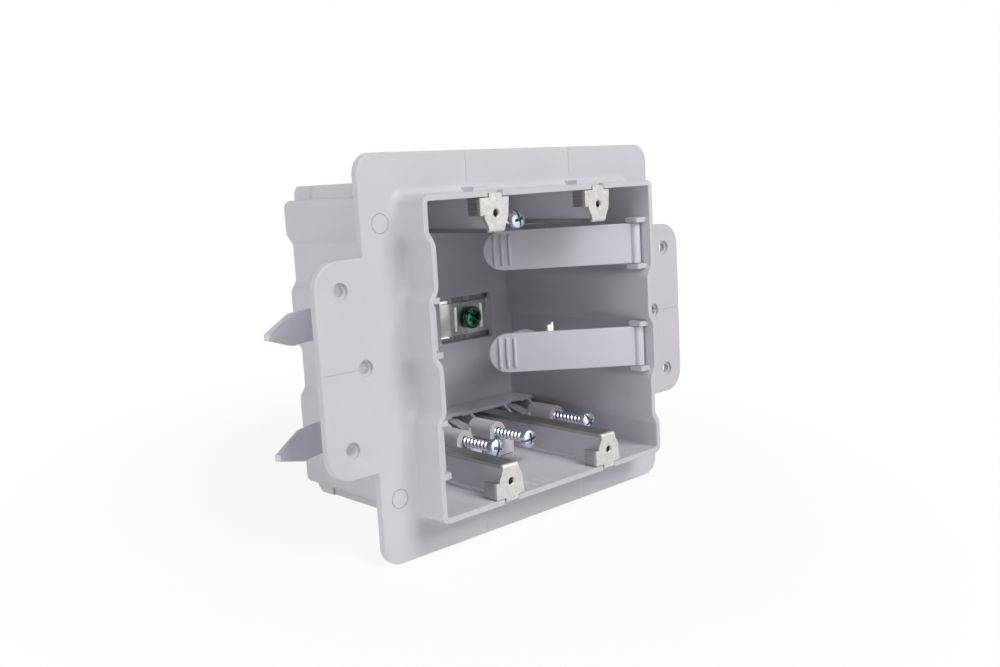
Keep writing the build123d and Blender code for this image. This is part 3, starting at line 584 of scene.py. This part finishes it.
def ring_mark(centre, radius, width, proud):
    """Shallow raised ring on a face that looks to -Y: a torus pressed almost flat."""
    a = np.linspace(0, 2 * np.pi, 64, endpoint=False)[:, None]
    b = np.linspace(0, 2 * np.pi, 10, endpoint=False)[None, :]
    r = radius + width / 2 * np.cos(b)
    points = np.stack([centre[0] + r * np.cos(a), centre[1] + proud * np.sin(b) + 0 * a,
                       centre[2] + r * np.sin(a)], axis=-1)
    return closed_ring(points)


# Settings

def length(default, text):
    """A length in metres that a user may change."""
    return bpy.props.FloatProperty(name=text, description=text, default=default, unit="LENGTH", precision=5)


def colour(default, text):
    """A linear colour that a user may change."""
    return bpy.props.FloatVectorProperty(name=text, description=text, default=default, subtype="COLOR",
                                         size=3, min=0, max=1)


def power(default, name, text):
    """A lamp's power in watts that a user may change."""
    return bpy.props.FloatProperty(name=name, description=text, default=default, unit="POWER")


class GangBoxFinish(bpy.types.PropertyGroup):
    """Colours and surface of every material."""
    shell: colour((0.675, 0.656, 0.70), "Moulded box")
    lever: colour((0.725, 0.71, 0.77), "Levers")
    jaw: colour((0.62, 0.605, 0.64), "Clamp jaws")
    # Strap legs: the same steel as the plates, darkened as painted shade.
    strap_leg_painted_shade: colour((0.47, 0.48, 0.45), "Strap legs")
    strap_plate: colour((0.65, 0.635, 0.62), "Device plates")
    pressed: colour((0.90, 0.90, 0.88), "Ground plate")
    zinc: colour((0.80, 0.84, 0.88), "Zinc screws")
    zinc_blue: colour((0.62, 0.74, 0.84), "Zinc screws' blue tint")
    dye: colour((0.006, 0.16, 0.075), "Ground screw")
    # Colour of the ground screw's painted highlight, shown as bright metal.
    painted_highlight: colour((0.42, 0.68, 0.52), "Ground screw's worn edges")
    roughness: bpy.props.FloatProperty(name="Plastic roughness", default=0.46, min=0, max=1,
                                       description="Roughness of the moulded plastic")
    edge: length(0.35 * MM, "Rounding of moulded edges")


class GangBoxScrews(bpy.types.PropertyGroup):
    """Sizes of the screws and threads."""
    crest: length(1.78 * MM, "Clamp screw thread radius")
    root: length(1.12 * MM, "Clamp screw core radius")
    pitch: length(1.8 * MM, "Clamp screw pitch")
    ground_crest: length(2.33 * MM, "Ground screw thread radius")
    ground_root: length(1.85 * MM, "Ground screw core radius")
    ground_pitch: length(0.8 * MM, "Ground screw pitch")
    tapped_bore: length(1.16 * MM, "Bore inside the device plates' threads")
    tapped_pitch: length(0.75 * MM, "Pitch of the device plates' threads")


class GangBoxLever(bpy.types.PropertyGroup):
    """Sizes of a lever and its claw."""
    pivot_x: length(47.0 * MM, "Pivot from the centre")
    pivot_y: length(-10.3 * MM, "Pivot from the stud face")
    swing: bpy.props.FloatProperty(name="Swing", description="Angle from flat on the wall to swung in",
                                   default=math.radians(47.5), subtype="ANGLE")
    arm_length: length(53.5 * MM, "Arm length")
    arm_width: length(14.0 * MM, "Arm width")
    arm_thick: length(2.0 * MM, "Arm thickness")
    claw_radius: length(46.0 * MM, "Claw from the pivot")
    claw_point: length(14.3 * MM, "Claw's straight point")


class GangBoxStage(bpy.types.PropertyGroup):
    """Camera, floor and lamps."""
    camera_place: bpy.props.FloatVectorProperty(name="Camera", description="Camera's place", size=3,
                                                default=(-0.23348, -0.24337, 0.05171), subtype="TRANSLATION")
    lens: bpy.props.FloatProperty(name="Lens", description="Focal length on a 36 mm sensor", default=36.99)
    floor_tilt: bpy.props.FloatProperty(name="Floor tilt", default=math.atan2(8.2, 58.0), subtype="ANGLE",
                                        description="The box rests on its flange and chutes")
    ambient: bpy.props.FloatProperty(name="Ambient", description="Light from all round", default=0.02, min=0)
    key: power(13.6, "Key lamp", "Above and in front")
    side: power(7.2, "Side lamp", "From the left")
    rear: power(3.2, "Rear lamp", "From behind, left")
    fill: power(1.0, "Fill lamp", "Low, from the front")


def finish_of(slot):
    """The node material of a slot; all are made at the first call.

    Their names start with dressed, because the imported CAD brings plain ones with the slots' own names.
    """
    if "dressed_moulded_plastic" not in bpy.data.materials:
        f = bpy.context.scene.gang_finish
        moulded_plastic("dressed_moulded_plastic", f.shell, f.roughness, 0.7)
        moulded_plastic("dressed_lever_plastic", f.lever, f.roughness - 0.04, 0.3)
        moulded_plastic("dressed_jaw_plastic", f.jaw, f.roughness, 0.2)
        strap_steel("dressed_strap_steel", f.strap_leg_painted_shade, f.strap_plate)
        pressed_steel("dressed_plate_steel", f.pressed, 0.3)
        pressed_steel("dressed_rivet_steel", shade(f.zinc, 0.8), 0.3)
        plated_screw("dressed_zinc_screw", f.zinc, f.zinc_blue)
        dyed_screw("dressed_green_screw", f.dye, f.painted_highlight)
    found = bpy.data.materials.get(f"dressed_{slot}")
    if found is None:
        raise KeyError(f"no finish is made for the slot {slot}")
    return found


# Operators

class GANGBOX_OT_shell(bpy.types.Operator):
    """Moulded box with rounded edges, parting lines and ejector marks."""
    bl_idname = "gangbox.shell"
    bl_label = "Moulded box"

    def execute(self, context):
        finish = finish_of("moulded_plastic")
        shell = softened_copy("box_body", "moulded_box", finish, context.scene.gang_finish.edge)
        stand_in(shell, "box", "moulded_plastic", "box_body")
        outward = (0.0, -1.0, 0.0)
        lines = []
        for x in GANG_X:
            for side in (-1, 1):
                ends = [(x, FLANGE_FRONT, side * z) for z in PARTING_Z]
                lines.append(ridge_line(*ends, PARTING_WIDTH, PARTING_PROUD, outward))
        for side in (-1, 1):
            ends = [(side * along, FLANGE_FRONT, 0.0) for along in EAR_LINE_X]
            lines.append(ridge_line(*ends, EAR_LINE_WIDTH, EAR_LINE_PROUD, outward))
            for z in (RING_Z, -RING_Z):
                lines.append(ring_mark((side * RING_X, FLANGE_FRONT, z), RING_RADIUS, RING_WIDTH, RING_PROUD))
        stand_in(new_piece("parting_marks", joined(*lines), finish), "box", "moulded_plastic")
        return {"FINISHED"}


class GANGBOX_OT_levers(bpy.types.Operator):
    """Four levers with ribbed grips, pivots and curved claws."""
    bl_idname = "gangbox.levers"
    bl_label = "Levers"

    def execute(self, context):
        s = context.scene.gang_lever
        sizes = {"arm_length": s.arm_length, "arm_width": s.arm_width, "arm_thick": s.arm_thick,
                 "grips": 3, "grip_first": 44.3 * MM, "grip_pitch": 2.65 * MM, "grip_width": 1.2 * MM,
                 "grip_proud": 0.8 * MM, "grip_span": 11.0 * MM, "barrel": 1.75 * MM, "stub": 1.2 * MM,
                 "stub_length": 1.5 * MM, "claw_radius": s.claw_radius, "claw_bend": 30.0,
                 "claw_point": s.claw_point, "claw_thick": 1.9 * MM, "claw_width": 10.0 * MM,
                 "claw_tip": 2.0 * MM}
        vertices, faces = lever_shape(sizes)
        finish = finish_of("lever_plastic")
        over = np.array(Matrix.Rotation(math.pi, 3, "Y"))
        for names, swing in ((RIGHT_LEVERS, s.swing), (LEFT_LEVERS, 0.0)):
            for name in names:
                turn = np.array(Matrix.Rotation(swing, 3, "Z"))
                height = node_centre(name).z
                right = swing > 0
                place = np.array([s.pivot_x, s.pivot_y, height if right else -height])
                placed = vertices @ turn.T + place
                if not right:
                    placed = placed @ over.T
                piece = new_piece(name.replace("lever", "arm"), (placed, faces), finish)
                stand_in(piece, name, "lever_plastic", name)
        return {"FINISHED"}


class GANGBOX_OT_screws(bpy.types.Operator):
    """Eight threaded clamp screws with driven pan heads."""
    bl_idname = "gangbox.screws"
    bl_label = "Clamp screws"

    def execute(self, context):
        s = context.scene.gang_screws
        sizes = {"crest": s.crest, "root": s.root, "pitch": s.pitch, "point": 2.6 * MM, "head": 3.28 * MM,
                 "thick": 2.38 * MM, "dome": 0.9, "slot": 0.75 * MM, "slot_span": 9.0 * MM, "deep": 0.9 * MM,
                 "cross": 3.9 * MM, "washer": 0.0}
        finish = finish_of("zinc_screw")
        for number, name in enumerate(CLAMP_NAMES):
            node = f"clamp_screw_{name}"
            centre = node_centre(node)
            low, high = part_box(node)
            (vertices, faces), relief = screw_shape(0.0, 0.0, low.y + CLAMP_HEAD, high.y, sizes)
            turn = np.array(Matrix.Rotation(FIRST_TURN + TURN_STEP * number, 3, "Y"))
            placed = vertices @ turn.T + np.array([centre.x, 0.0, centre.z])
            piece = new_piece(f"threaded_{node}", (placed, faces), finish, relief=relief)
            stand_in(piece, node, "zinc_screw", node)
        return {"FINISHED"}


class GANGBOX_OT_ground(bpy.types.Operator):
    """Ground plate and its green screw."""
    bl_idname = "gangbox.ground"
    bl_label = "Ground terminal"

    def execute(self, context):
        s = context.scene.gang_screws
        centre = node_centre("ground_screw")
        low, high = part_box("ground_screw")
        sizes = {"crest": s.ground_crest, "root": s.ground_root, "pitch": s.ground_pitch, "point": 1.2 * MM,
                 "head": 4.38 * MM, "thick": 2.78 * MM, "dome": 0.8, "slot": 1.0 * MM, "slot_span": 10.0 * MM,
                 "deep": 1.1 * MM, "cross": 4.6 * MM, "washer": 0.75 * MM}
        (vertices, faces), relief = screw_shape(0.0, 0.0, low.y + GROUND_HEAD, high.y, sizes)
        turn = np.array(Matrix.Rotation(GROUND_TURN, 3, "Y"))
        placed = vertices @ turn.T + np.array([centre.x, 0.0, centre.z])
        screw = new_piece("green_ground_screw", (placed, faces), finish_of("green_screw"), relief=relief)
        stand_in(screw, "box", "green_screw", "ground_screw")
        plate = softened_copy("ground_plate", "pressed_ground_plate", finish_of("plate_steel"), 0.15 * MM)
        stand_in(plate, "box", "plate_steel", "ground_plate")
        return {"FINISHED"}


class GANGBOX_OT_straps(bpy.types.Operator):
    """Folded straps with tapped device plates, and the threads in them."""
    bl_idname = "gangbox.straps"
    bl_label = "Device straps"

    def execute(self, context):
        s = context.scene.gang_screws
        finish = finish_of("strap_steel")
        for node, x in zip(STRAPS, GANG_X):
            strap = softened_copy(node, f"folded_{node}", finish, 0.14 * MM)
            stand_in(strap, "box", "strap_steel", node)
            sleeves = [tapped_sleeve(x, side * DEVICE_Z, PLATE_FRONT + 0.04 * MM, PLATE_FRONT + 1.16 * MM,
                                     s.tapped_bore, 1.4 * MM, s.tapped_pitch) for side in (-1, 1)]
            thread = new_piece(f"threads_{node}", joined(*sleeves), finish)
            stand_in(thread, "box", "strap_steel")
        return {"FINISHED"}


class GANGBOX_OT_small_parts(bpy.types.Operator):
    """Jaws, link and rivets: softened edges and finishes."""
    bl_idname = "gangbox.small_parts"
    bl_label = "Jaws, link and rivets"

    def execute(self, context):
        for name in CLAMP_NAMES:
            node = f"clamp_jaw_{name}"
            jaw = softened_copy(node, f"toothed_{node}", finish_of("jaw_plastic"), 0.15 * MM)
            stand_in(jaw, node, "jaw_plastic", node)
        link = softened_copy("bond_link", "cross_plate", finish_of("rivet_steel"), 0.15 * MM)
        stand_in(link, "box", "strap_steel", "bond_link")
        for node in sorted(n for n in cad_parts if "rivet" in n):
            rivet = needed(node)
            rivet.data.materials.clear()
            rivet.data.materials.append(finish_of("rivet_steel"))
        return {"FINISHED"}


class GANGBOX_OT_stage(bpy.types.Operator):
    """White floor and backdrop, soft lamps and the camera."""
    bl_idname = "gangbox.stage"
    bl_label = "Stage"

    def execute(self, context):
        s = context.scene.gang_stage
        scene = context.scene
        self.make_floor(s)
        self.make_world(scene, s.ambient)
        self.make_lamp("Key", (0.1, -1.0, 0.9), 0.8, s.key)
        self.make_lamp("Side", (-1.3, -0.1, 0.25), 1.0, s.side)
        self.make_lamp("Rear", (-0.9, 0.9, 0.3), 0.9, s.rear)
        self.make_lamp("Fill", (0.0, -1.3, 0.1), 0.8, s.fill)
        data = bpy.data.cameras.new("Camera")
        data.lens = s.lens
        data.sensor_width = 36.0
        data.clip_start = 0.01
        camera = bpy.data.objects.new("Camera", data)
        camera.matrix_world = Matrix.Translation(s.camera_place) @ Matrix(CAMERA_AXES).to_4x4()
        scene.collection.objects.link(camera)
        scene.camera = camera
        scene.view_settings.view_transform = "Standard"
        return {"FINISHED"}

    def make_floor(self, s):
        """Disc under the flange's lower edge and the rear chutes: rings of points, tilted about X."""
        rest = np.array([0.0, 0.0, FLOOR_Z])
        ring = np.linspace(0.02, FLOOR_RADIUS, 24)[:, None]
        angle = np.linspace(0, 2 * np.pi, 72, endpoint=False)[None, :]
        flat = np.stack([ring * np.cos(angle), ring * np.sin(angle), np.zeros((24, 72))], axis=-1)
        tilt = np.array(Matrix.Rotation(s.floor_tilt, 3, "X"))
        points = flat.reshape(-1, 3) @ tilt.T + rest
        faces = grid_faces(24, 72, closed_columns=True).tolist() + [list(range(72))]
        middle = rest + np.array([0.0, 22.0 * MM, 3.0 * MM])
        finish = white_floor("white_floor", (0.93, 0.93, 0.93), 0.19, middle)
        mesh = bpy.data.meshes.new("floor")
        mesh.from_pydata(points.tolist(), [], faces)
        mesh.materials.append(finish)
        floor = bpy.data.objects.new("floor", mesh)
        bpy.context.scene.collection.objects.link(floor)

    def make_world(self, scene, strength):
        """White where the camera, gloss or glass sees it, and soft light from all round."""
        world = bpy.data.worlds.new("Studio")
        world.use_nodes = True
        tree = world.node_tree
        tree.nodes.clear()
        path = tree.nodes.new("ShaderNodeLightPath")
        first = tree.nodes.new("ShaderNodeMath")
        second = tree.nodes.new("ShaderNodeMath")
        first.operation = second.operation = "MAXIMUM"
        soft, seen = tree.nodes.new("ShaderNodeBackground"), tree.nodes.new("ShaderNodeBackground")
        soft.inputs["Color"].default_value = (1.0, 1.0, 1.0, 1.0)
        soft.inputs["Strength"].default_value = strength
        seen.inputs["Color"].default_value = (1.0, 1.0, 1.0, 1.0)
        mixed, output = tree.nodes.new("ShaderNodeMixShader"), tree.nodes.new("ShaderNodeOutputWorld")
        tree.links.new(path.outputs["Is Camera Ray"], first.inputs[0])
        tree.links.new(path.outputs["Is Transmission Ray"], first.inputs[1])
        tree.links.new(first.outputs[0], second.inputs[0])
        tree.links.new(path.outputs["Is Glossy Ray"], second.inputs[1])
        tree.links.new(second.outputs[0], mixed.inputs[0])
        tree.links.new(soft.outputs[0], mixed.inputs[1])
        tree.links.new(seen.outputs[0], mixed.inputs[2])
        tree.links.new(mixed.outputs[0], output.inputs["Surface"])
        scene.world = world

    def make_lamp(self, name, place, size, power):
        """Square soft lamp aimed at the box."""
        data = bpy.data.lights.new(name, "AREA")
        data.energy = power
        data.size = size
        lamp = bpy.data.objects.new(name, data)
        lamp.location = place
        lamp.rotation_mode = "QUATERNION"
        lamp.rotation_quaternion = (-Vector(place)).to_track_quat("-Z", "Y")
        bpy.context.scene.collection.objects.link(lamp)


class GANGBOX_PT_panel(bpy.types.Panel):
    """Lists the operators and settings."""
    bl_label = "Gang box"
    bl_idname = "GANGBOX_PT_panel"
    bl_space_type = "VIEW_3D"
    bl_region_type = "UI"
    bl_category = "Gang box"

    def draw(self, context):
        for operator in OPERATORS:
            self.layout.operator(operator.bl_idname)
        for group in GROUPS:
            settings = getattr(context.scene, group)
            for key in settings.bl_rna.properties.keys():
                if key not in ("rna_type", "name"):
                    self.layout.prop(settings, key)


OPERATORS = (GANGBOX_OT_shell, GANGBOX_OT_levers, GANGBOX_OT_screws, GANGBOX_OT_ground,
             GANGBOX_OT_straps, GANGBOX_OT_small_parts, GANGBOX_OT_stage)
GROUPS = {"gang_finish": GangBoxFinish, "gang_screws": GangBoxScrews, "gang_lever": GangBoxLever,
          "gang_stage": GangBoxStage}


def register():
    """Registers the settings, operators and panel."""
    for name, group in GROUPS.items():
        bpy.utils.register_class(group)
        setattr(bpy.types.Scene, name, bpy.props.PointerProperty(type=group))
    for operator in OPERATORS:
        bpy.utils.register_class(operator)
    bpy.utils.register_class(GANGBOX_PT_panel)


def unregister():
    """Removes them again."""
    bpy.utils.unregister_class(GANGBOX_PT_panel)
    for operator in reversed(OPERATORS):
        bpy.utils.unregister_class(operator)
    for name, group in reversed(GROUPS.items()):
        delattr(bpy.types.Scene, name)
        bpy.utils.unregister_class(group)


def main():
    """Makes every piece in order."""
    register()
    bpy.ops.gangbox.shell()
    bpy.ops.gangbox.levers()
    bpy.ops.gangbox.screws()
    bpy.ops.gangbox.ground()
    bpy.ops.gangbox.straps()
    bpy.ops.gangbox.small_parts()
    bpy.ops.gangbox.stage()
    bpy.context.view_layer.update()


if __name__ == "__main__":
    main()
